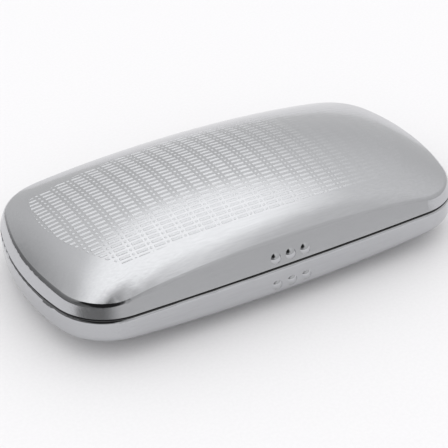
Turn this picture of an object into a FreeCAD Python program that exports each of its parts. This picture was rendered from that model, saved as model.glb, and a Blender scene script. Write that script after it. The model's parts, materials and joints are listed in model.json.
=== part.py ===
import FreeCAD, Part
import math
import os

# Eyeglasses case: two pressed aluminium half shells joined at the rear by two
# sprung butt hinges, each half lined by a flocked tray that hangs in a black rim frame.
# Millimetres. +Z up, +X along the length, the front is at -Y.
# The origin is the centre of the flat underside.

# Outline of the case at the parting plane: three kinds of tangent arc.
HALF_LENGTH = 80.0
HALF_WIDTH = 41.2
SIDE_RADIUS = 1708.0
END_RADIUS = 88.6
CORNER_RADIUS = 21.2

# Heights.
PARTING_Z = 16.84
RIM_GAP = 0.15
SHELL_EDGE = 0.5

# Pillow-shaped lid top and base bottom.
PILLOW_HALF_X = 87.0
PILLOW_HALF_Y = 47.9
PILLOW_POWER_X = 1.93
PILLOW_POWER_Y = 1.8
PILLOW_ROOT = 2.03
PILLOW_SOFTNESS = 0.15
LID_PILLOW_Z = 10.84
LID_PILLOW_RISE = 24.5
BASE_PILLOW_Z = 13.54
BASE_PILLOW_DROP = 14.5
PILLOW_STEPS_X = 33
PILLOW_STEPS_Y = 21
PILLOW_MARGIN = 1.5
PILLOW_REACH = 60.0

# Pressed shells.
SHELL = 0.8
SHELL_DOME = 0.95
LID_INSET = 0.28
LID_DRAFT = math.radians(22.0)
LID_CREASE_RADIUS = 2.0
BASE_CREASE_RADIUS = 3.0
SHOULDER_RADIUS = 1.0
LID_WALL_REACH = 21.0

# Grip dimples.
DIMPLE_PITCH = 5.65
DIMPLE_RADIUS = 1.9
DIMPLE_HEIGHT = 0.8
DIMPLE_MARGIN = 0.1
LID_DIMPLE_RISE = 3.2
BASE_DIMPLE_DROP = 6.8

# Rim frames.
LIP_INSET = 0.4
RIB_WIDTH = 0.9
LEDGE_STEP = 1.0
FRAME_WIDTH = 2.6
FRAME_GLUE = 0.06
BASE_FRAME_DEPTH = 7.4
LID_FRAME_HEIGHT = 2.9

# Trays and foam pads.
FIT_GAP = 0.1
TRAY = 1.0
PAD = 1.5
PAD_INSET = 12.0
PAD_GAP = 0.04

# Hinges.
HINGE_X = 32.0
HINGE_WIDTH = 22.0
LEAF = 0.8
PIN_RADIUS = 1.2
PIN_CLEARANCE = 0.05
BASE_LEAF_HEIGHT = 7.0
LID_LEAF_HEIGHT = 5.9
LEAF_TOP_GAP = 0.4
KNUCKLE = 3.6
KNUCKLE_GAP = 0.3
NOTCH_END_GAP = 0.5
POCKET_GAP = 0.2
PIN_HEAD_RADIUS = 1.7
PIN_HEAD = 0.5
CURL_SLIT = 0.25
CURL_END = 222.0
LEAF_CORNER = 1.4
NEAR = 0.05

# Rivets.
RIVET_X = 7.2
BASE_RIVET_DROP = 4.9
LID_RIVET_DROP = 4.2
RIVET_RADIUS = 0.8
RIVET_HOLE_GAP = 0.04
RIVET_REACH = 0.45
RIVET_HEAD_RADIUS = 1.3
RIVET_HEAD = 0.6
RIVET_TAIL_RADIUS = 1.2
RIVET_TAIL = 0.5

# Torsion springs.
WIRE_RADIUS = 0.35
COIL_RADIUS = 1.7
COIL_PITCH = 0.84
COIL_TURNS = 7
COIL_STEPS = 8
SPRING_SPANS = 24
SPRING_LEG = 5.0
LEG_SWING = 2.1
LEG_STEPS = 4
LEG_HOOK = 0.7
HOOK_STEPS = 3
WIRE_GAP = 0.08
LEG_HOLE_RADIUS = 0.7
LEG_SLOT = 1.6
LEG_ROOM = 1.0

CURL_INNER = PIN_RADIUS + PIN_CLEARANCE
CURL_OUTER = CURL_INNER + LEAF
NOTCH_RADIUS = CURL_OUTER + LEAF_TOP_GAP


def vec(x, y, z):
    return FreeCAD.Vector(x, y, z)


def corner_centre():
    """Centre of the corner arc that is tangent to a side arc and an end arc."""
    side_y = HALF_WIDTH - SIDE_RADIUS
    end_x = HALF_LENGTH - END_RADIUS
    reach_side = SIDE_RADIUS - CORNER_RADIUS
    reach_end = END_RADIUS - CORNER_RADIUS
    span = math.hypot(end_x, side_y)
    along = (reach_side ** 2 - reach_end ** 2 + span ** 2) / (2 * span)
    across = math.sqrt(reach_side ** 2 - along ** 2)
    ux = end_x / span
    uy = -side_y / span
    return ux * along + uy * across, side_y + uy * along - ux * across


def outline(inset, z):
    """Closed wire of eight tangent arcs, moved inwards by inset."""
    cx, cy = corner_centre()
    side_angle = math.atan2(cy - (HALF_WIDTH - SIDE_RADIUS), cx)
    end_angle = math.atan2(cy, cx - (HALF_LENGTH - END_RADIUS))
    mid_angle = (side_angle + end_angle) / 2
    radius = CORNER_RADIUS - inset
    p_side = (cx + radius * math.cos(side_angle), cy + radius * math.sin(side_angle))
    p_mid = (cx + radius * math.cos(mid_angle), cy + radius * math.sin(mid_angle))
    p_end = (cx + radius * math.cos(end_angle), cy + radius * math.sin(end_angle))
    tip_x = HALF_LENGTH - inset
    tip_y = HALF_WIDTH - inset
    loop = [
        p_side, p_mid, p_end,
        (tip_x, 0.0),
        (p_end[0], -p_end[1]), (p_mid[0], -p_mid[1]), (p_side[0], -p_side[1]),
        (0.0, -tip_y),
        (-p_side[0], -p_side[1]), (-p_mid[0], -p_mid[1]), (-p_end[0], -p_end[1]),
        (-tip_x, 0.0),
        (-p_end[0], p_end[1]), (-p_mid[0], p_mid[1]), (-p_side[0], p_side[1]),
        (0.0, tip_y),
    ]
    points = [vec(x, y, z) for x, y in loop]
    points.append(points[0])
    edges = []
    for i in range(0, len(loop), 2):
        edges.append(Part.Arc(points[i], points[i + 1], points[i + 2]).toShape())
    return Part.Wire(edges)


def prism(inset, z0, z1):
    """Upright block with the case's outline."""
    return Part.Face(outline(inset, z0)).extrude(vec(0, 0, z1 - z0))


def lid_prism(inset, z0, z1):
    """Block with the lid's leaning wall; inset is measured at the shell's lower edge."""
    lean = math.tan(LID_DRAFT)
    edge_z = PARTING_Z + SHELL_EDGE
    low = outline(LID_INSET + inset + (z0 - edge_z) * lean, z0)
    high = outline(LID_INSET + inset + (z1 - edge_z) * lean, z1)
    return Part.makeLoft([low, high], True, True)


def soft_power(t, power):
    """|t| to a power, rounded off near zero so the crown has no ridge."""
    soft = PILLOW_SOFTNESS ** 2
    return (t * t + soft) ** (power / 2) - soft ** (power / 2)


def pillow_factor(x, y):
    fx = (1 - soft_power(x / PILLOW_HALF_X, PILLOW_POWER_X)) ** (1 / PILLOW_ROOT)
    fy = (1 - soft_power(y / PILLOW_HALF_Y, PILLOW_POWER_Y)) ** (1 / PILLOW_ROOT)
    return fx * fy


def pillow_face(z, rise):
    """Height field z + rise * factor over a rectangle a little larger than the case."""
    span_x = HALF_LENGTH + PILLOW_MARGIN
    span_y = HALF_WIDTH + PILLOW_MARGIN
    grid = []
    for i in range(PILLOW_STEPS_X):
        x = span_x * (2.0 * i / (PILLOW_STEPS_X - 1) - 1.0)
        row = []
        for j in range(PILLOW_STEPS_Y):
            y = span_y * (2.0 * j / (PILLOW_STEPS_Y - 1) - 1.0)
            row.append(vec(x, y, z + rise * pillow_factor(x, y)))
        grid.append(row)
    surface = Part.BSplineSurface()
    surface.interpolate(grid)
    return surface.toShape()


LID_UNDER = pillow_face(LID_PILLOW_Z, LID_PILLOW_RISE).extrude(vec(0, 0, -PILLOW_REACH))
BASE_OVER = pillow_face(BASE_PILLOW_Z, -BASE_PILLOW_DROP).extrude(vec(0, 0, PILLOW_REACH))


def moved(shape, x, y, z):
    result = shape.copy()
    result.translate(vec(x, y, z))
    return result


def lid_block(inset, drop, height):
    """Lid-shaped block from height above the parting plane up to the dome less drop."""
    block = lid_prism(inset, PARTING_Z + height, PARTING_Z + LID_WALL_REACH)
    return block.common(moved(LID_UNDER, 0, 0, -drop))


def base_block(inset, rise, depth):
    """Base-shaped block from the bowed floor raised by rise up to depth under the parting."""
    block = prism(inset, rise, PARTING_Z - depth)
    return block.common(moved(BASE_OVER, 0, 0, rise))


def box(x0, x1, y0, y1, z0, z1):
    return Part.makeBox(x1 - x0, y1 - y0, z1 - z0, vec(x0, y0, z0))


def rod_x(radius, x0, x1):
    return Part.makeCylinder(radius, x1 - x0, vec(x0, 0, 0), vec(1, 0, 0))


def side_y_at(x, inset):
    """Rear y of the outline moved inwards by inset, on the long side."""
    radius = SIDE_RADIUS - inset
    return HALF_WIDTH - SIDE_RADIUS + math.sqrt(radius * radius - x * x)


LEAF_FACE_Y = side_y_at(HINGE_X + HINGE_WIDTH / 2, SHELL)
AXIS_Y = LEAF_FACE_Y + CURL_INNER


# Hinge parts are drawn about the pin, with the base leaf hanging down, then placed.

def base_place(shape, side):
    return moved(shape, side * HINGE_X, AXIS_Y, PARTING_Z)


def lid_place(shape, side):
    """Turn a hanging leaf part upside down and lean it against the lid's wall."""
    result = shape.copy()
    result = result.mirror(vec(0, 0, 0), vec(0, 0, 1))
    result.rotate(vec(0, 0, 0), vec(1, 0, 0), math.degrees(LID_DRAFT))
    return moved(result, side * HINGE_X, AXIS_Y, PARTING_Z)


def both(place, shape):
    return [place(shape, -1), place(shape, 1)]


def knuckle_spans(outer):
    """Pairs of x limits of one leaf's knuckles: outer ones on the base, inner on the lid."""
    half = HINGE_WIDTH / 2
    if outer:
        return [(-half, -half + KNUCKLE), (half - KNUCKLE, half)]
    start = half - KNUCKLE - KNUCKLE_GAP
    return [(-start, -start + KNUCKLE), (start - KNUCKLE, start)]


def leaf_side(outer):
    """Height and rivet drop of one leaf, and the end of the coil whose leg it takes."""
    if outer:
        return BASE_LEAF_HEIGHT, BASE_RIVET_DROP, 1
    return LID_LEAF_HEIGHT, LID_RIVET_DROP, -1


def cross_rod(radius, length, x, y, z):
    return Part.makeCylinder(radius, length, vec(x, y, z), vec(0, 1, 0))


def leaf(outer):
    """Hinge leaf: riveted plate whose upper tongues are curled round the pin."""
    height, drop, end = leaf_side(outer)
    half = HINGE_WIDTH / 2
    plate = box(-half, half, -CURL_OUTER, -CURL_INNER, -height, -NOTCH_RADIUS)
    short = [e for e in plate.Edges if abs(e.Length - LEAF) < NEAR]
    feet = [e for e in short if e.CenterOfMass.z < NEAR - height]
    body = plate.makeFillet(LEAF_CORNER, feet)
    for x0, x1 in knuckle_spans(outer):
        tongue = box(x0, x1, -CURL_OUTER, -CURL_INNER, -NOTCH_RADIUS - LEAF, 0)
        curl = rod_x(CURL_OUTER, x0, x1).cut(rod_x(CURL_INNER, x0, x1))
        slit = box(x0, x1, PIN_RADIUS, CURL_OUTER + LEAF, 0, CURL_SLIT)
        slit.rotate(vec(0, 0, 0), vec(1, 0, 0), CURL_END)
        body = body.fuse(curl.cut(slit)).fuse(tongue)
    start = -CURL_OUTER - LEAF
    for x in (-RIVET_X, RIVET_X):
        body = body.cut(cross_rod(RIVET_RADIUS + RIVET_HOLE_GAP, 4 * LEAF, x, start, -drop))
    leg_x = end * COIL_PITCH * COIL_TURNS / 2
    return body.cut(cross_rod(LEG_HOLE_RADIUS, 4 * LEAF, leg_x, start, -SPRING_LEG)).removeSplitter()


def rivet(x, drop, shell):
    """Domed head outside, shank through shell and leaf, flat tail inside."""
    face = -CURL_INNER + shell
    inner = -CURL_OUTER
    shank = cross_rod(RIVET_RADIUS, face - inner + RIVET_TAIL, x, inner - RIVET_TAIL, -drop)
    tail = cross_rod(RIVET_TAIL_RADIUS, RIVET_TAIL, x, inner - RIVET_TAIL, -drop)
    ball = (RIVET_HEAD_RADIUS ** 2 + RIVET_HEAD ** 2) / (2 * RIVET_HEAD)
    dome = Part.makeSphere(ball, vec(x, face + RIVET_HEAD - ball, -drop))
    reach = 2 * RIVET_HEAD_RADIUS
    cap = box(x - reach, x + reach, face, face + reach, -drop - reach, -drop + reach).common(dome)
    return shank.fuse(tail).fuse(cap).removeSplitter()


def leaf_pocket(outer):
    """Room for one leaf, its rivet tails and a spring leg in a rim frame."""
    height, drop, end = leaf_side(outer)
    half = HINGE_WIDTH / 2 + POCKET_GAP
    back = -CURL_OUTER - LEG_ROOM
    room = box(-half, half, -CURL_OUTER - FIT_GAP, 3 * LEAF, -height - POCKET_GAP, 0)
    for x in (-RIVET_X, RIVET_X):
        room = room.fuse(cross_rod(RIVET_TAIL_RADIUS + FIT_GAP, 2 * LEG_ROOM, x, back, -drop))
    x = end * COIL_PITCH * COIL_TURNS / 2
    slot = box(x - LEG_SLOT / 2, x + LEG_SLOT / 2, back, 0, -SPRING_LEG - LEG_SLOT / 2, 0)
    return room.fuse(slot)


def knuckle_room():
    length = HINGE_WIDTH + 2 * (PIN_HEAD + NOTCH_END_GAP)
    return rod_x(NOTCH_RADIUS, -length / 2, length / 2)


def without(shape, cutters):
    for cutter in cutters:
        shape = shape.cut(cutter)
    return shape


def pin():
    """Hinge pin, its two ends peened over the outer knuckles."""
    half = HINGE_WIDTH / 2
    body = rod_x(PIN_RADIUS, -half - PIN_HEAD, half + PIN_HEAD)
    for x0 in (-half - PIN_HEAD, half):
        body = body.fuse(rod_x(PIN_HEAD_RADIUS, x0, x0 + PIN_HEAD))
    return body.removeSplitter()


def leg_points():
    """Local y, z of a hanging leg: a swing clear of the leaf, a straight run, a hooked tip."""
    inner = -CURL_OUTER - WIRE_RADIUS - WIRE_GAP
    points = []
    for i in range(1, LEG_STEPS + 1):
        swing = (1 - math.cos(math.pi * i / LEG_STEPS)) / 2
        points.append((-COIL_RADIUS + (inner + COIL_RADIUS) * swing, -LEG_SWING * i / LEG_STEPS))
    points.append((inner, -(LEG_SWING + SPRING_LEG - LEG_HOOK) / 2))
    for i in range(HOOK_STEPS + 1):
        angle = math.pi / 2 * i / HOOK_STEPS
        y = inner + LEG_HOOK * (1 - math.cos(angle))
        points.append((y, -SPRING_LEG + LEG_HOOK * (1 - math.sin(angle))))
    return points


def spring():
    """Torsion spring: coil on the pin, one leg hooked in each leaf."""
    length = COIL_PITCH * COIL_TURNS
    cos_lean = math.cos(LID_DRAFT)
    sin_lean = math.sin(LID_DRAFT)
    path = []
    for y, z in reversed(leg_points()):
        path.append(vec(-length / 2, y * cos_lean + z * sin_lean, y * sin_lean - z * cos_lean))
    first = math.pi + LID_DRAFT
    sweep = 2 * math.pi * COIL_TURNS - LID_DRAFT
    steps = COIL_TURNS * COIL_STEPS
    for i in range(steps + 1):
        angle = first + sweep * i / steps
        x = length * (i / steps - 0.5)
        path.append(vec(x, COIL_RADIUS * math.cos(angle), COIL_RADIUS * math.sin(angle)))
    for y, z in leg_points():
        path.append(vec(length / 2, y, z))
    curve = Part.BSplineCurve()
    curve.interpolate(path)
    begin = curve.FirstParameter
    span = (curve.LastParameter - begin) / SPRING_SPANS
    cuts = [begin + span * i for i in range(SPRING_SPANS + 1)]
    wire = Part.Wire([curve.toShape(a, b) for a, b in zip(cuts, cuts[1:])])
    ring = Part.makeCircle(WIRE_RADIUS, path[0], curve.tangent(begin)[0])
    return wire.makePipeShell([Part.Wire([ring])], True, False)


def with_dimples(shell, wall_y, z, lean):
    """Presses a row of ball-shaped grip dimples outwards through the front wall."""
    ball = (DIMPLE_RADIUS ** 2 + DIMPLE_HEIGHT ** 2) / (2 * DIMPLE_HEIGHT)
    back = ball - DIMPLE_HEIGHT
    reach = DIMPLE_RADIUS + DIMPLE_MARGIN
    for i in (-1, 0, 1):
        x = i * DIMPLE_PITCH
        window = box(-reach, reach, -2 * DIMPLE_HEIGHT, SHELL / 2, -reach, reach)
        cap = window.common(Part.makeSphere(ball, vec(0, back, 0)))
        hollow = Part.makeSphere(ball - SHELL, vec(0, back, 0))
        placed = []
        for shape in (cap, hollow):
            shape.rotate(vec(0, 0, 0), vec(1, 0, 0), -math.degrees(lean))
            placed.append(moved(shape, x, -wall_y(x), z))
        shell = shell.fuse(placed[0]).cut(placed[1])
    return shell


def hinge_holes(shape, place, outer):
    """Notches for the knuckles and holes for the rivets in a shell."""
    cutters = both(place, knuckle_room())
    drop = leaf_side(outer)[1]
    for x in (-RIVET_X, RIVET_X):
        hole = cross_rod(RIVET_RADIUS + RIVET_HOLE_GAP, 4 * SHELL, x, -CURL_OUTER, -drop)
        cutters += both(place, hole)
    return without(shape, cutters)


def face_edges(solid, pick):
    """Outer edges of the face for which pick is largest."""
    face = max(solid.Faces, key=pick)
    return face.OuterWire.Edges


def lid_shell():
    outer = lid_block(0, 0, SHELL_EDGE)
    crease = face_edges(outer, lambda f: f.CenterOfMass.z)
    outer = outer.makeFillet(LID_CREASE_RADIUS, crease)
    shell = outer.cut(lid_block(SHELL, SHELL_DOME, SHELL_EDGE))
    lean = math.tan(LID_DRAFT)
    rise = (LID_DIMPLE_RISE - SHELL_EDGE) * lean
    shell = with_dimples(shell, lambda x: side_y_at(x, LID_INSET + rise),
                         PARTING_Z + LID_DIMPLE_RISE, LID_DRAFT)
    return hinge_holes(shell, lid_place, False)


def base_shell():
    outer = base_block(0, 0, SHELL_EDGE)
    wall_foot = face_edges(outer, lambda f: 0 if isinstance(f.Surface, Part.Plane) else f.Area)
    outer = outer.makeFillet(BASE_CREASE_RADIUS, wall_foot)
    top = face_edges(outer, lambda f: f.CenterOfMass.z)
    outer = outer.makeFillet(SHOULDER_RADIUS, top)
    shell = outer.cut(base_block(SHELL, SHELL_DOME, SHELL_EDGE - SHELL))
    shell = with_dimples(shell, lambda x: side_y_at(x, 0), PARTING_Z - BASE_DIMPLE_DROP, 0.0)
    return hinge_holes(shell, base_place, True)


def base_frame():
    """Rim ring of the base: lip on the shell's edge, rib, ledge for the tray and skirt."""
    edge = PARTING_Z - SHELL_EDGE
    top = PARTING_Z - RIM_GAP
    foot = PARTING_Z - BASE_FRAME_DEPTH
    ring = prism(LIP_INSET, edge, top).fuse(prism(SHELL + FRAME_GLUE, foot, edge))
    ring = ring.cut(prism(SHELL + RIB_WIDTH, top - LEDGE_STEP, top))
    ring = ring.cut(prism(SHELL + FRAME_WIDTH, foot, top))
    cutters = both(base_place, knuckle_room()) + both(base_place, leaf_pocket(True))
    return without(ring, cutters).removeSplitter()


def lid_frame():
    """Rim ring of the lid, the base's ring turned over and leaning with the wall."""
    edge = PARTING_Z + SHELL_EDGE
    low = PARTING_Z + RIM_GAP
    head = PARTING_Z + LID_FRAME_HEIGHT
    ring = lid_prism(LIP_INSET, low, edge).fuse(lid_prism(SHELL + FRAME_GLUE, edge, head))
    ring = ring.cut(lid_prism(SHELL + RIB_WIDTH, low, low + LEDGE_STEP))
    ring = ring.cut(lid_prism(SHELL + FRAME_WIDTH, low, head))
    cutters = both(lid_place, knuckle_room()) + both(lid_place, leaf_pocket(False))
    return without(ring, cutters).removeSplitter()


TRAY_INSET = SHELL + FRAME_WIDTH + FIT_GAP
TRAY_RISE = SHELL_DOME + PAD + FIT_GAP


def base_tray():
    """Well of the base, hung by its flange on the frame's ledge."""
    top = PARTING_Z - RIM_GAP
    well = base_block(TRAY_INSET, TRAY_RISE, RIM_GAP)
    flange = prism(SHELL + RIB_WIDTH + FIT_GAP, top - LEDGE_STEP, top)
    tray = well.fuse(flange).cut(base_block(TRAY_INSET + TRAY, TRAY_RISE + TRAY, RIM_GAP))
    cutters = both(base_place, knuckle_room()) + both(base_place, leaf_pocket(True))
    return without(tray, cutters).removeSplitter()


def lid_tray():
    """Well of the lid, the base's well turned over under the dome."""
    low = PARTING_Z + RIM_GAP
    well = lid_block(TRAY_INSET, TRAY_RISE, RIM_GAP)
    flange = lid_prism(SHELL + RIB_WIDTH + FIT_GAP, low, low + LEDGE_STEP)
    tray = well.fuse(flange).cut(lid_block(TRAY_INSET + TRAY, TRAY_RISE + TRAY, RIM_GAP))
    cutters = both(lid_place, knuckle_room()) + both(lid_place, leaf_pocket(False))
    return without(tray, cutters).removeSplitter()


def base_pad():
    """Foam sheet between the shell's floor and the tray."""
    low = base_block(PAD_INSET, SHELL_DOME + PAD_GAP, RIM_GAP)
    return low.cut(base_block(TRAY_INSET, TRAY_RISE - PAD_GAP, RIM_GAP))


def lid_pad():
    """Foam sheet between the lid's dome and its tray."""
    high = lid_block(PAD_INSET, SHELL_DOME + PAD_GAP, RIM_GAP)
    return high.cut(lid_block(TRAY_INSET, TRAY_RISE - PAD_GAP, RIM_GAP))


def rivets(place, outer, shell):
    drop = leaf_side(outer)[1]
    group = []
    for x in (-RIVET_X, RIVET_X):
        group += both(place, rivet(x, drop, shell))
    return group


def export(name, shapes):
    """Writes one node: a single solid, or a group of separate ones."""
    group = shapes if isinstance(shapes, list) else [shapes]
    solids = []
    for shape in group:
        solids.extend(shape.Solids)
    if not all(solid.isValid() for solid in solids):
        raise ValueError(name + " is not a valid solid")
    result = solids[0] if len(solids) == 1 else Part.makeCompound(solids)
    result.exportStep("parts/" + name + ".step")
    print(name, len(solids), round(result.Volume, 1), result.BoundBox)


def main():
    os.makedirs("parts", exist_ok=True)
    export("base_shell", base_shell())
    export("base_frame", base_frame())
    export("base_pad", base_pad())
    export("base_tray", base_tray())
    export("base_rivets", rivets(base_place, True, SHELL + RIVET_REACH))
    export("lid_shell", lid_shell())
    export("lid_frame", lid_frame())
    export("lid_pad", lid_pad())
    export("lid_tray", lid_tray())
    export("lid_rivets", rivets(lid_place, False, SHELL * math.cos(LID_DRAFT) + RIVET_REACH))
    coil = spring()
    axle = pin()
    base_leaf = leaf(True)
    lid_leaf = leaf(False)
    for name, side in (("left", -1), ("right", 1)):
        export("base_leaf_" + name, base_place(base_leaf, side))
        export("lid_leaf_" + name, lid_place(lid_leaf, side))
        export("hinge_pin_" + name, base_place(axle, side))
        export("hinge_spring_" + name, base_place(coil, side))


main()
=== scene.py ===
import json
import math

import bpy
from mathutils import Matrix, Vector


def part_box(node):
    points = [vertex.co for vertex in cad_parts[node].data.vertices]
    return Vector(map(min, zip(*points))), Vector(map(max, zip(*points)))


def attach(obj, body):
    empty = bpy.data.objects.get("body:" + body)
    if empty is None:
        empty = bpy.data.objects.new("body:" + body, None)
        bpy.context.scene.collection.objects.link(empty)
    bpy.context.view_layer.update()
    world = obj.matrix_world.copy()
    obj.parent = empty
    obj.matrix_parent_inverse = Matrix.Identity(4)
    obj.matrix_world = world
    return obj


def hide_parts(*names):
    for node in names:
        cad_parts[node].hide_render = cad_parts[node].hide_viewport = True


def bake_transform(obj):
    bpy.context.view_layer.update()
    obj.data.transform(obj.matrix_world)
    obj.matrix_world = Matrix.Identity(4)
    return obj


MM = 0.001

# Sizes that the CAD model has too, in millimetres.
PILLOW_HALF = (87.0, 47.9)
PILLOW_POWER = (1.93, 1.8)
PILLOW_ROOT = 2.03
PILLOW_SOFT = 0.15
LID_PILLOW = (10.84, 24.5)
BASE_PILLOW = (13.54, -14.5)
SHELL_DOME = 0.95
PAD_THICKNESS = 1.5
LID_DRAFT = math.radians(22.0)
COIL_RADIUS = 1.7
COIL_LENGTH = 5.88
COIL_TURNS = 7
WIRE_RADIUS = 0.35
LEG = 5.0
LEG_OUT = 2.48
LEG_SWING = 2.1
LEG_HOOK = 0.7


# ---------------------------------------------------------------- node helpers

class Tree:
    """Short names for building a node tree."""

    def __init__(self, tree):
        self.tree = tree
        self.tree.nodes.clear()

    def node(self, kind, **values):
        made = self.tree.nodes.new(kind)
        for key, value in values.items():
            setattr(made, key, value)
        return made

    def plug(self, source, target):
        if isinstance(source, (int, float)):
            target.default_value = source
        elif isinstance(source, (tuple, list)):
            size = len(target.default_value)
            target.default_value = tuple(source) + (1.0,) * (size - len(source))
        else:
            self.tree.links.new(source, target)

    def math(self, operation, *inputs):
        made = self.node("ShaderNodeMath", operation=operation)
        for i, value in enumerate(inputs):
            self.plug(value, made.inputs[i])
        return made.outputs[0]

    def step(self, value, low, high, to_min=0.0, to_max=1.0):
        """Smooth change from one value to another as the input goes from low to high."""
        made = self.node("ShaderNodeMapRange", interpolation_type="SMOOTHSTEP")
        for i, item in enumerate((value, low, high, to_min, to_max)):
            self.plug(item, made.inputs[i])
        return made.outputs[0]

    def blend(self, factor, a, b):
        """Mix of two numbers."""
        return self.math("ADD", a, self.math("MULTIPLY", factor, self.math("SUBTRACT", b, a)))

    def mix(self, factor, a, b):
        """Mix of two colours."""
        made = self.node("ShaderNodeMix", data_type="RGBA")
        factor_in, colour_a, colour_b = made.inputs[0], made.inputs[6], made.inputs[7]
        self.plug(factor, factor_in)
        self.plug(a, colour_a)
        self.plug(b, colour_b)
        return made.outputs[2]

    def coords(self, scale=(1 / MM, 1 / MM, 1 / MM)):
        """Object coordinates, in millimetres unless another scale per metre is given."""
        mapping = self.node("ShaderNodeMapping")
        mapping.inputs["Scale"].default_value = scale
        self.plug(self.node("ShaderNodeTexCoord").outputs["Object"], mapping.inputs["Vector"])
        return mapping.outputs["Vector"]

    def split(self, vector):
        made = self.node("ShaderNodeSeparateXYZ")
        self.plug(vector, made.inputs[0])
        return made.outputs

    def noise(self, vector, scale, detail=2.0, roughness=0.5):
        made = self.node("ShaderNodeTexNoise")
        self.plug(vector, made.inputs["Vector"])
        made.inputs["Scale"].default_value = scale
        made.inputs["Detail"].default_value = detail
        made.inputs["Roughness"].default_value = roughness
        return made.outputs[0]

    def bump(self, height, distance, strength=1.0, normal=None):
        made = self.node("ShaderNodeBump")
        made.inputs["Strength"].default_value = strength
        made.inputs["Distance"].default_value = distance
        self.plug(height, made.inputs["Height"])
        if normal is not None:
            self.plug(normal, made.inputs["Normal"])
        return made.outputs[0]


def new_material(name):
    """A material, its tree and its principled shader; the tree's surface is where a shader goes."""
    mat = bpy.data.materials.new(name)
    mat.use_nodes = True
    t = Tree(mat.node_tree)
    t.surface = t.node("ShaderNodeOutputMaterial").inputs["Surface"]
    shader = t.node("ShaderNodeBsdfPrincipled")
    t.plug(shader.outputs[0], t.surface)
    return mat, t, shader


# ------------------------------------------------------------------- materials

ALUMINIUM = (0.515, 0.520, 0.535)
ALUMINIUM_DEEP = (0.485, 0.490, 0.505)
MARK = (0.68, 0.69, 0.71)
PLASTIC = (0.012, 0.012, 0.013)
PLASTIC_GREYED = (0.020, 0.020, 0.021)
# The flock's deep and tip tones are painted shade and painted light in the pile.
FLOCK_SHADED_DEEP = (0.010, 0.011, 0.014)
FLOCK_LIT_TIP = (0.046, 0.048, 0.056)
FLOCK_BRUSHED = (0.055, 0.058, 0.068)
FLOCK_SHEEN = (0.45, 0.47, 0.52, 1.0)
# The foam's cell tone is painted shade in the cell hollows; the wall tone is the foam's own.
FOAM_CELL_SHADE = (0.035, 0.035, 0.038)
FOAM_WALL = (0.11, 0.11, 0.115)
STEEL = (0.56, 0.565, 0.575)
STEEL_DEEP = (0.44, 0.445, 0.46)
FLOOR = (0.685, 0.68, 0.69)
FLOOR_LIGHT = (0.70, 0.695, 0.705)

# Noise mostly lies between the values of the first pair; the second gives more contrast.
SOFT = (0.3, 0.7)
CRISP = (0.35, 0.65)

# Stretch of noise along a piece, per metre, for hairlines in brushed, plated and drawn metal.
BRUSHED = (60.0, 4200.0, 4200.0)
PLATED = (180.0, 3000.0, 3000.0)
DRAWN = (900.0, 900.0, 900.0)

# Etched marks on the lid, in millimetres: dashes in columns, with a dot between neighbours.
# A dash's thickness is a share of the row pitch.
COLUMN_PITCH = 5.9
DASH_HALF = 1.78
DASH_THICK = 0.22
DOT_RADIUS = 0.42
EDGE = 0.10
# The marks are deepest on the left half and fade along the lid to a small share of that. This fade is
# painted light: it stands in for how light falls on the marks along the lid.
PAINTED_FADE_FROM = -10.0
PAINTED_FADE_TO = 48.0
PAINTED_FADE_SHARE = 0.12
# The rows are flat arcs about a middle right of centre. They bow more and lie further apart
# towards the rear, and the columns lean a little.
ROW_PITCH = 2.05
ROW_START = 0.8
ROW_MIDDLE = 11.0
ROW_RADIUS = 450.0
ROW_FAN_LENGTH = 70.0
ROW_SPREAD_LENGTH = 300.0
COLUMN_START = 0.4
COLUMN_LEAN = -0.03
# The field of marks ends at these distances from the middle, on sides bowed at their own radii.
FIELD_LENGTH = 67.9
FIELD_WIDTH = 27.9
FIELD_END_MIDDLE = 9.0
FIELD_END_RADIUS = 45.0
FIELD_SIDE_RADIUS = 735.0


def bow(t, value, middle, radius):
    """Depth in mm of a flat arc of the given radius, at a place along it."""
    off = t.math("SUBTRACT", value, middle)
    return t.math("DIVIDE", t.math("MULTIPLY", off, off), 2 * radius)


def row_number(t, x, y):
    """Grows by one from each row of marks to the next, front to rear."""
    fan = t.math("ADD", 1.0, t.math("DIVIDE", y, ROW_FAN_LENGTH))
    bowed = t.math("SUBTRACT", y, t.math("MULTIPLY", bow(t, x, ROW_MIDDLE, ROW_RADIUS), fan))
    spread = t.math("SUBTRACT", 1.0, t.math("DIVIDE", bowed, ROW_SPREAD_LENGTH))
    return t.math("MULTIPLY", t.math("DIVIDE", t.math("ADD", bowed, ROW_START), ROW_PITCH), spread)


def border(t, value, half, depth):
    """Distance inside a bowed side that is half away from the middle at most."""
    return t.math("SUBTRACT", t.math("SUBTRACT", half, depth), t.math("ABSOLUTE", value))


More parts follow.
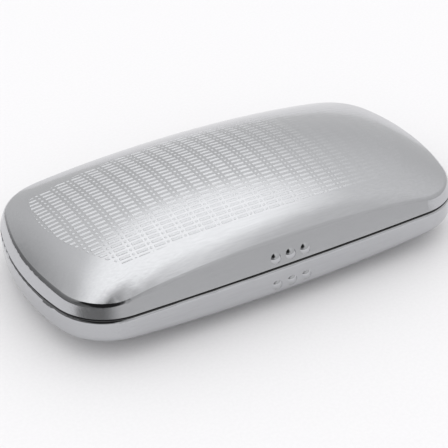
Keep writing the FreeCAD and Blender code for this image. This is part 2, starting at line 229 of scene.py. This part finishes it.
def etched_marks(t):
    """Depth of the etched pattern over the lid: 0 between the marks, up to 1 on them, with a painted
    light fade along the lid.
    """
    x, y, _ = t.split(t.coords())
    column = t.math("SUBTRACT", x, t.math("ADD", COLUMN_START, t.math("MULTIPLY", y, COLUMN_LEAN)))
    from_dash = t.math("PINGPONG", column, COLUMN_PITCH / 2)
    from_dot = t.math("SUBTRACT", COLUMN_PITCH / 2, from_dash)
    from_row = t.math("PINGPONG", row_number(t, x, y), 0.5)
    dash_along = t.step(from_dash, DASH_HALF - EDGE, DASH_HALF + EDGE, 1.0, 0.0)
    dash_across = t.step(from_row, DASH_THICK - EDGE / 2, DASH_THICK + EDGE / 2, 1.0, 0.0)
    dash = t.math("MULTIPLY", dash_along, dash_across)
    row_mm = t.math("MULTIPLY", from_row, ROW_PITCH)
    squares = t.math("ADD", t.math("MULTIPLY", from_dot, from_dot), t.math("MULTIPLY", row_mm, row_mm))
    dot = t.step(t.math("SQRT", squares), DOT_RADIUS - EDGE, DOT_RADIUS + EDGE, 1.0, 0.0)
    marks = t.math("MAXIMUM", dash, dot)
    end = border(t, x, FIELD_LENGTH, bow(t, y, FIELD_END_MIDDLE, FIELD_END_RADIUS))
    side = border(t, y, FIELD_WIDTH, bow(t, x, 0.0, FIELD_SIDE_RADIUS))
    inside = t.step(t.math("MINIMUM", end, side), 0.0, 2 * EDGE)
    # Painted light fade: the marks' colour, gloss and bump are dimmed along the lid to stand in for
    # how light falls on them.
    depth = t.math("MULTIPLY", inside, t.step(x, PAINTED_FADE_FROM, PAINTED_FADE_TO, 1.0, PAINTED_FADE_SHARE))
    return t.math("MULTIPLY", marks, depth)


def satin_aluminium(name, etched):
    """Brushed along the case, with wide clouds of gloss; the marks are matt and lighter, with a
    painted light fade along the lid.
    """
    mat, t, shader = new_material(name)
    hair = t.noise(t.coords(BRUSHED), scale=1.0, detail=3.0, roughness=0.6)
    cloud = t.noise(t.coords(), scale=0.035, detail=3.0)
    roughness = t.math("ADD", t.step(hair, *SOFT, 0.10, 0.15), t.step(cloud, *SOFT, -0.01, 0.015))
    colour = t.mix(t.step(hair, *CRISP), ALUMINIUM, ALUMINIUM_DEEP)
    normal = t.bump(hair, distance=0.0000005, strength=0.6)
    metallic = 1.0
    if etched:
        # The marks carry the painted light fade along the lid.
        marks = etched_marks(t)
        grit = t.noise(t.coords(), scale=9.0, roughness=0.6)
        roughness = t.blend(marks, roughness, t.step(grit, *SOFT, 0.46, 0.58))
        colour = t.mix(marks, colour, MARK)
        normal = t.bump(marks, distance=0.00005, strength=0.8, normal=normal)
        metallic = t.blend(marks, 1.0, 0.60)
    t.plug(colour, shader.inputs["Base Color"])
    t.plug(roughness, shader.inputs["Roughness"])
    t.plug(normal, shader.inputs["Normal"])
    t.plug(metallic, shader.inputs["Metallic"])
    return mat


def black_plastic():
    """Moulded, with a fine grain and faint wide shading."""
    mat, t, shader = new_material("rim_frame_black_plastic")
    grain = t.noise(t.coords(), scale=7.0, detail=3.0, roughness=0.6)
    shade = t.noise(t.coords(), scale=0.08)
    t.plug(t.mix(t.step(shade, *SOFT), PLASTIC, PLASTIC_GREYED), shader.inputs["Base Color"])
    t.plug(t.step(grain, *SOFT, 0.42, 0.56), shader.inputs["Roughness"])
    t.plug(t.bump(grain, distance=0.00003, strength=0.5), shader.inputs["Normal"])
    return mat


def flocking():
    """Short upright fibres, brushed lighter in places; the pile is painted darker in its low places as
    shade, with lighter lit tips.
    """
    mat, t, shader = new_material("black_flocking")
    fibre = t.noise(t.coords(), scale=5.5, detail=4.0, roughness=0.7)
    nap = t.noise(t.coords((60.0, 60.0, 60.0)), scale=1.0)
    # Painted shade: the colour follows the bump's height, dark where the pile is low and light on the
    # tips.
    shaded_pile = t.mix(t.step(fibre, *SOFT), FLOCK_SHADED_DEEP, FLOCK_LIT_TIP)
    colour = t.mix(t.step(nap, *CRISP, 0.0, 0.5), shaded_pile, FLOCK_BRUSHED)
    t.plug(colour, shader.inputs["Base Color"])
    t.plug(t.bump(fibre, distance=0.00022, strength=0.9), shader.inputs["Normal"])
    shader.inputs["Roughness"].default_value = 0.95
    shader.inputs["Sheen Weight"].default_value = 0.55
    shader.inputs["Sheen Roughness"].default_value = 0.4
    shader.inputs["Sheen Tint"].default_value = FLOCK_SHEEN
    return mat


def foam():
    """Open cells about half a millimetre across, painted darker in their hollows as shade."""
    mat, t, shader = new_material("grey_foam")
    cells = t.node("ShaderNodeTexVoronoi", feature="F1")
    t.plug(t.coords(), cells.inputs["Vector"])
    cells.inputs["Scale"].default_value = 2.2
    from_middle = cells.outputs["Distance"]
    mottle = t.noise(t.coords(), scale=0.6, detail=3.0)
    # Painted shade: the cells' middles, low in the bump, are darker than their walls.
    t.plug(t.mix(t.step(from_middle, 0.0, 0.6), FOAM_CELL_SHADE, FOAM_WALL), shader.inputs["Base Color"])
    t.plug(t.step(mottle, *SOFT, 0.85, 0.97), shader.inputs["Roughness"])
    t.plug(t.bump(from_middle, distance=0.0002, strength=0.8), shader.inputs["Normal"])
    return mat


def plated_steel(name, stretch, tone):
    """Bright plating with drawing lines; tone darkens it all."""
    mat, t, shader = new_material(name)
    grain = t.noise(t.coords(stretch), scale=1.0, detail=3.0, roughness=0.6)
    spots = t.noise(t.coords(), scale=0.7)
    light, deep = (tuple(part * tone for part in colour) for colour in (STEEL, STEEL_DEEP))
    t.plug(t.mix(t.step(spots, *CRISP), light, deep), shader.inputs["Base Color"])
    t.plug(t.step(grain, *SOFT, 0.24, 0.38), shader.inputs["Roughness"])
    t.plug(t.bump(grain, distance=0.000008, strength=0.6), shader.inputs["Normal"])
    shader.inputs["Metallic"].default_value = 1.0
    return mat


def paint(mat, *names):
    for name in names:
        node = frame["nodes"][name]
        node.data.materials.clear()
        node.data.materials.append(mat)


# ---------------------------------------------------------------------- pieces

# Foam sheets, in millimetres: half length and half width, the gap kept to shell and tray, the
# skin taken off each face, and the depth and pitch factor of the faint cell dimples.
BASE_FOAM_HALF = (66.5, 28.0)
LID_FOAM_HALF = (62.0, 25.5)
FOAM_GAP = 0.04
FOAM_SKIN = 0.03
DIMPLE_DEPTH = 0.035
DIMPLE_WAVE = 0.9
# A foam sheet's outline: how square its corners are, the share of it that the rounded edge
# takes up, where on that edge its rings lie, and how finely it is divided.
FOAM_SQUARENESS = 0.42
FOAM_EDGE = 0.015
FOAM_EDGE_RINGS = (0.75, 0.4, 0.0, -0.4, -0.75)
FOAM_RINGS = 26
FOAM_SIDES = 144
# Divisions of the spring's wire, and its rounded ends as shares of the wire's radius.
LEG_STEPS = 4
HOOK_STEPS = 6
TURN_STEPS = 24
WIRE_SIDES = 10
TIP_REACH = 0.35
TIP_RADIUS = 0.6


def soft_power(value, power):
    soft = PILLOW_SOFT ** 2
    return (value * value + soft) ** (power / 2) - soft ** (power / 2)


def pillow(x, y, shape):
    """Height of the bowed lid top or base bottom over a point, in millimetres."""
    fx = (1 - soft_power(x / PILLOW_HALF[0], PILLOW_POWER[0])) ** (1 / PILLOW_ROOT)
    fy = (1 - soft_power(y / PILLOW_HALF[1], PILLOW_POWER[1])) ** (1 / PILLOW_ROOT)
    return shape[0] + shape[1] * fx * fy


def mesh_object(name, verts, faces, mat):
    mesh = bpy.data.meshes.new(name)
    mesh.from_pydata([tuple(c * MM for c in v) for v in verts], [], faces)
    mesh.update()
    for face in mesh.polygons:
        face.use_smooth = True
    mesh.materials.append(mat)
    obj = bpy.data.objects.new(name, mesh)
    bpy.context.scene.collection.objects.link(obj)
    return obj


def base_floor(rise):
    """Height of a surface over the base shell's inside, at rise above it."""
    return lambda x, y: max(pillow(x, y, BASE_PILLOW), 0.0) + SHELL_DOME + rise


def lid_ceiling(drop):
    """Height of a surface under the lid shell's inside, at drop below it."""
    return lambda x, y: pillow(x, y, LID_PILLOW) - SHELL_DOME - drop


def tube_faces(rings, sides):
    """Quads between closed rings of points, each with as many sides."""
    faces = []
    for r in range(rings - 1):
        for i in range(sides):
            j = (i + 1) % sides
            faces.append((r * sides + i, (r + 1) * sides + i, (r + 1) * sides + j, r * sides + j))
    return faces


def foam_point(angle, scale, side, half_size, low, high):
    """Point of a foam sheet's ring: side is 1 on the upper face and -1 on the lower."""
    c = math.cos(angle)
    s = math.sin(angle)
    x = half_size[0] * scale * math.copysign(abs(c) ** FOAM_SQUARENESS, c)
    y = half_size[1] * scale * math.copysign(abs(s) ** FOAM_SQUARENESS, s)
    middle = (low(x, y) + high(x, y)) / 2
    half = (high(x, y) - low(x, y)) / 2 - FOAM_SKIN
    dimple = 0.0
    if abs(side) == 1.0:
        dimple = DIMPLE_DEPTH * abs(math.sin(DIMPLE_WAVE * x) * math.sin(DIMPLE_WAVE * y))
    return x, y, middle + half * side - math.copysign(dimple, side)


def foam_pad(name, mat, half_size, low, high):
    """Thin foam sheet between two bowed surfaces, with rounded edges and faint cell dimples."""
    flat = 1.0 - FOAM_EDGE
    scales = [flat * (r + 1) / FOAM_RINGS for r in range(FOAM_RINGS - 1)]
    rings = [(scale, 1.0) for scale in scales]
    rings += [(flat + FOAM_EDGE * math.sqrt(1 - side * side), side) for side in FOAM_EDGE_RINGS]
    rings += [(scale, -1.0) for scale in reversed(scales)]
    verts = []
    for scale, side in rings:
        for i in range(FOAM_SIDES):
            angle = 2 * math.pi * i / FOAM_SIDES
            verts.append(foam_point(angle, scale, side, half_size, low, high))
    top = len(verts)
    bottom = top + 1
    verts += [(0.0, 0.0, high(0, 0) - FOAM_SKIN), (0.0, 0.0, low(0, 0) + FOAM_SKIN)]
    last = (len(rings) - 1) * FOAM_SIDES
    faces = tube_faces(len(rings), FOAM_SIDES)
    for i in range(FOAM_SIDES):
        j = (i + 1) % FOAM_SIDES
        faces += [(top, i, j), (bottom, last + j, last + i)]
    return mesh_object(name, verts, faces, mat)


def leg_path():
    """Local y, z of a hanging spring leg: a swing clear of the leaf, a run, a hooked tip."""
    points = []
    for i in range(1, LEG_STEPS + 1):
        swing = (1 - math.cos(math.pi * i / LEG_STEPS)) / 2
        points.append((-COIL_RADIUS - (LEG_OUT - COIL_RADIUS) * swing, -LEG_SWING * i / LEG_STEPS))
    for i in range(HOOK_STEPS + 1):
        angle = math.pi / 2 * i / HOOK_STEPS
        points.append((-LEG_OUT + LEG_HOOK * (1 - math.cos(angle)),
                       -LEG + LEG_HOOK * (1 - math.sin(angle))))
    return points


def spring_path():
    """Centre line of a torsion spring about its pin, in millimetres: lid leg, coil, base leg."""
    cos_lean = math.cos(LID_DRAFT)
    sin_lean = math.sin(LID_DRAFT)
    path = []
    for y, z in reversed(leg_path()):
        path.append(Vector((-COIL_LENGTH / 2, y * cos_lean + z * sin_lean,
                            y * sin_lean - z * cos_lean)))
    steps = COIL_TURNS * TURN_STEPS
    sweep = 2 * math.pi * COIL_TURNS - LID_DRAFT
    for i in range(steps + 1):
        angle = math.pi + LID_DRAFT + sweep * i / steps
        path.append(Vector((COIL_LENGTH * (i / steps - 0.5), COIL_RADIUS * math.cos(angle),
                            COIL_RADIUS * math.sin(angle))))
    for y, z in leg_path():
        path.append(Vector((COIL_LENGTH / 2, y, z)))
    return path


def wire_rings(path):
    """Place, two directions across and radius of each ring of a wire along a path, ends rounded."""
    rings = []
    across = (path[1] - path[0]).orthogonal()
    for i, point in enumerate(path):
        along = (path[min(i + 1, len(path) - 1)] - path[max(i - 1, 0)]).normalized()
        across = (across - along * across.dot(along)).normalized()
        rings.append((point, across, along.cross(across), WIRE_RADIUS))
    tips = []
    for end, inner in ((0, 1), (-1, -2)):
        point, across, other, radius = rings[end]
        outwards = (path[end] - path[inner]).normalized()
        tips.append((point + outwards * radius * TIP_REACH, across, other, radius * TIP_RADIUS))
    return [tips[0]] + rings + [tips[1]]


def torsion_spring(name, centre, mat):
    """Wire tube along the spring's centre line, about a centre in metres."""
    rings = wire_rings(spring_path())
    verts = []
    for point, across, other, radius in rings:
        for k in range(WIRE_SIDES):
            angle = 2 * math.pi * k / WIRE_SIDES
            rim = (across * math.cos(angle) + other * math.sin(angle)) * radius
            verts.append(centre / MM + point + rim)
    faces = [tuple(reversed(face)) for face in tube_faces(len(rings), WIRE_SIDES)]
    faces.append(tuple(reversed(range(WIRE_SIDES))))
    faces.append(tuple(range(len(verts) - WIRE_SIDES, len(verts))))
    return mesh_object(name, verts, faces, mat)


def hinge_centre(side):
    """Middle of a hinge's pin on the lid's joint axis, in metres."""
    low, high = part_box("hinge_pin_" + side)
    _, axis_y, axis_z = frame["joints"][0]["pos_m"]
    return Vector(((low.x + high.x) / 2, axis_y, axis_z))


def add_foam(name, node, body, half_size, low, high, mat):
    pad = foam_pad(name, mat, half_size, low, high)
    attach(pad, body)
    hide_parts(node)


def add_spring(side, mat):
    """Wire torsion spring on a hinge pin, in place of the CAD spring: one leg along the base and one
    along the lid, in one fixed piece.
    """
    centre = hinge_centre(side)
    spring = torsion_spring("torsion_spring_" + side, centre, mat)
    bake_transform(spring)
    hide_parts("hinge_spring_" + side)


# ----------------------------------------------------------------- stage, light

# The floor, in metres.
FLOOR_HALF = 4.0

# Camera: the point it looks at and its distance, in metres, its direction, in radians, and its
# lens and sensor, in millimetres.
CAMERA_TARGET = (0.00376, 0.0112, -0.0010)
CAMERA_DISTANCE = 0.4249
CAMERA_AZIMUTH = -0.514
CAMERA_ELEVATION = 0.616
CAMERA_LENS = 92.33
CAMERA_SENSOR = 36.0

# Surroundings, as shares of white. The softbox and the dark shields, which the polished front
# left corner mirrors, are cones: a direction from the case, and the half angles, in degrees,
# inside which they are full and outside which they end.
ROOM_FRONT = 0.70
ROOM_REAR = 0.76
CEILING = 1.0
LEFT_SHARE = 0.29
FRONT_SHARE = 0.55
STEEP_RIGHT_SHARE = 0.35
SOFTBOX = ((0.20, 0.24, 0.95), 11.0, 27.0)
SOFTBOX_LIGHT = 1.66
DARK_SHIELDS = (
    ((-0.24, -0.22, 0.945), 23.0, 28.0),
    ((-0.36, -0.58, 0.73), 18.0, 26.0),
)
SHIELD_LIGHT = 0.02
MATT_LIGHT = 1.55


def pale_floor():
    """Pale matt sheet, see-through from below so that the underside can be looked at."""
    mat, t, shader = new_material("pale_floor")
    fine = t.noise(t.coords((1.0, 1.0, 1.0)), scale=900.0)
    t.plug(t.mix(t.step(fine, *SOFT), FLOOR, FLOOR_LIGHT), shader.inputs["Base Color"])
    shader.inputs["Roughness"].default_value = 0.9
    shader.inputs["Specular IOR Level"].default_value = 0.1
    both_sides = t.node("ShaderNodeMixShader")
    t.plug(t.node("ShaderNodeNewGeometry").outputs["Backfacing"], both_sides.inputs[0])
    t.plug(shader.outputs[0], both_sides.inputs[1])
    t.plug(t.node("ShaderNodeBsdfTransparent").outputs[0], both_sides.inputs[2])
    t.plug(both_sides.outputs[0], t.surface)
    half = FLOOR_HALF / MM
    corners = [(-half, -half, 0), (half, -half, 0), (half, half, 0), (-half, half, 0)]
    mesh_object("floor", corners, [(0, 1, 2, 3)], mat)


def patch(t, direction, centre, inner, outer):
    """1 inside a cone of directions, falling to 0 between two half angles, in degrees."""
    made = t.node("ShaderNodeVectorMath", operation="DOT_PRODUCT")
    t.plug(direction, made.inputs[0])
    made.inputs[1].default_value = Vector(centre).normalized()
    return t.step(made.outputs["Value"], math.cos(math.radians(outer)), math.cos(math.radians(inner)))


def studio_light():
    """Soft white surroundings with a softbox overhead, dim at the left and low in front.

    Matt surfaces get more light than the metal mirrors, which keeps the floor near white
    beside the darker polished walls.
    """
    world = bpy.data.worlds.new("studio")
    bpy.context.scene.world = world
    world.use_nodes = True
    t = Tree(world.node_tree)
    background = t.node("ShaderNodeBackground")
    t.plug(background.outputs[0], t.node("ShaderNodeOutputWorld").inputs["Surface"])
    direction = t.node("ShaderNodeTexCoord").outputs["Generated"]
    x, y, z = t.split(direction)
    light = t.step(y, -0.2, 0.5, ROOM_FRONT, ROOM_REAR)
    light = t.blend(t.step(z, 0.25, 0.85), light, CEILING)
    light = t.math("MULTIPLY", light, t.step(x, -0.60, -0.02, LEFT_SHARE, 1.0))
    light = t.blend(patch(t, direction, *SOFTBOX), light, SOFTBOX_LIGHT)
    steep = t.math("MULTIPLY", t.step(z, 0.35, 0.6), t.step(x, 0.08, 0.28, 1.0, STEEP_RIGHT_SHARE))
    front = t.step(y, -0.03, 0.11, FRONT_SHARE, 1.0)
    light = t.math("MULTIPLY", light, t.blend(steep, 1.0, front))
    shield = t.math("MAXIMUM", *(patch(t, direction, *shape) for shape in DARK_SHIELDS))
    shield = t.math("MULTIPLY", shield, t.step(x, 0.0, 0.09, 1.0, 0.0))
    light = t.blend(shield, light, SHIELD_LIGHT)
    on_matt = t.node("ShaderNodeLightPath").outputs["Is Diffuse Ray"]
    light = t.blend(on_matt, light, MATT_LIGHT)
    t.plug(light, background.inputs["Strength"])
    background.inputs["Color"].default_value = (1.0, 1.0, 1.0, 1.0)


def camera():
    data = bpy.data.cameras.new("camera")
    data.sensor_width = CAMERA_SENSOR
    data.lens = CAMERA_LENS
    data.clip_start = 0.01
    data.clip_end = 20.0
    cam = bpy.data.objects.new("camera", data)
    bpy.context.scene.collection.objects.link(cam)
    level = math.cos(CAMERA_ELEVATION)
    back = Vector((math.sin(CAMERA_AZIMUTH) * level, -math.cos(CAMERA_AZIMUTH) * level,
                   math.sin(CAMERA_ELEVATION)))
    cam.location = Vector(CAMERA_TARGET) + back * CAMERA_DISTANCE
    cam.rotation_mode = "QUATERNION"
    cam.rotation_quaternion = (-back).to_track_quat("-Z", "Y")
    bpy.context.scene.camera = cam


# ------------------------------------------------------------------------- build

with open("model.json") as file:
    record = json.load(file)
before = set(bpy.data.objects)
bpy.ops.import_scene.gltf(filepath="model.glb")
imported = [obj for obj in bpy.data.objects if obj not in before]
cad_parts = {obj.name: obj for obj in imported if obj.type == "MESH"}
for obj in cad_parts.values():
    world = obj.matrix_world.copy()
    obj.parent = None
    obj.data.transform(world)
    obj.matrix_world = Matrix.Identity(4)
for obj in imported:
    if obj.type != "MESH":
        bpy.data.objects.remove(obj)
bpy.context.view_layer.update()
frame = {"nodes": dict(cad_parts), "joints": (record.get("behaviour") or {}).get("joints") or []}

camera()
studio_light()
pale_floor()
bpy.context.scene.view_settings.view_transform = "Standard"

steel = plated_steel("plated_steel", PLATED, 1.0)
wire = plated_steel("drawn_wire", DRAWN, 0.8)
grey_foam = foam()
paint(satin_aluminium("lid_satin_aluminium", True), "lid_shell")
paint(satin_aluminium("base_satin_aluminium", False), "base_shell")
paint(black_plastic(), "base_frame", "lid_frame")
paint(flocking(), "base_tray", "lid_tray")
paint(steel, "base_leaf_left", "base_leaf_right", "lid_leaf_left", "lid_leaf_right",
      "base_rivets", "lid_rivets", "hinge_pin_left", "hinge_pin_right")

add_foam("base_foam", "base_pad", "base", BASE_FOAM_HALF, base_floor(FOAM_GAP),
         base_floor(PAD_THICKNESS), grey_foam)
add_foam("lid_foam", "lid_pad", "lid", LID_FOAM_HALF, lid_ceiling(PAD_THICKNESS),
         lid_ceiling(FOAM_GAP), grey_foam)
for side in ("left", "right"):
    add_spring(side, wire)
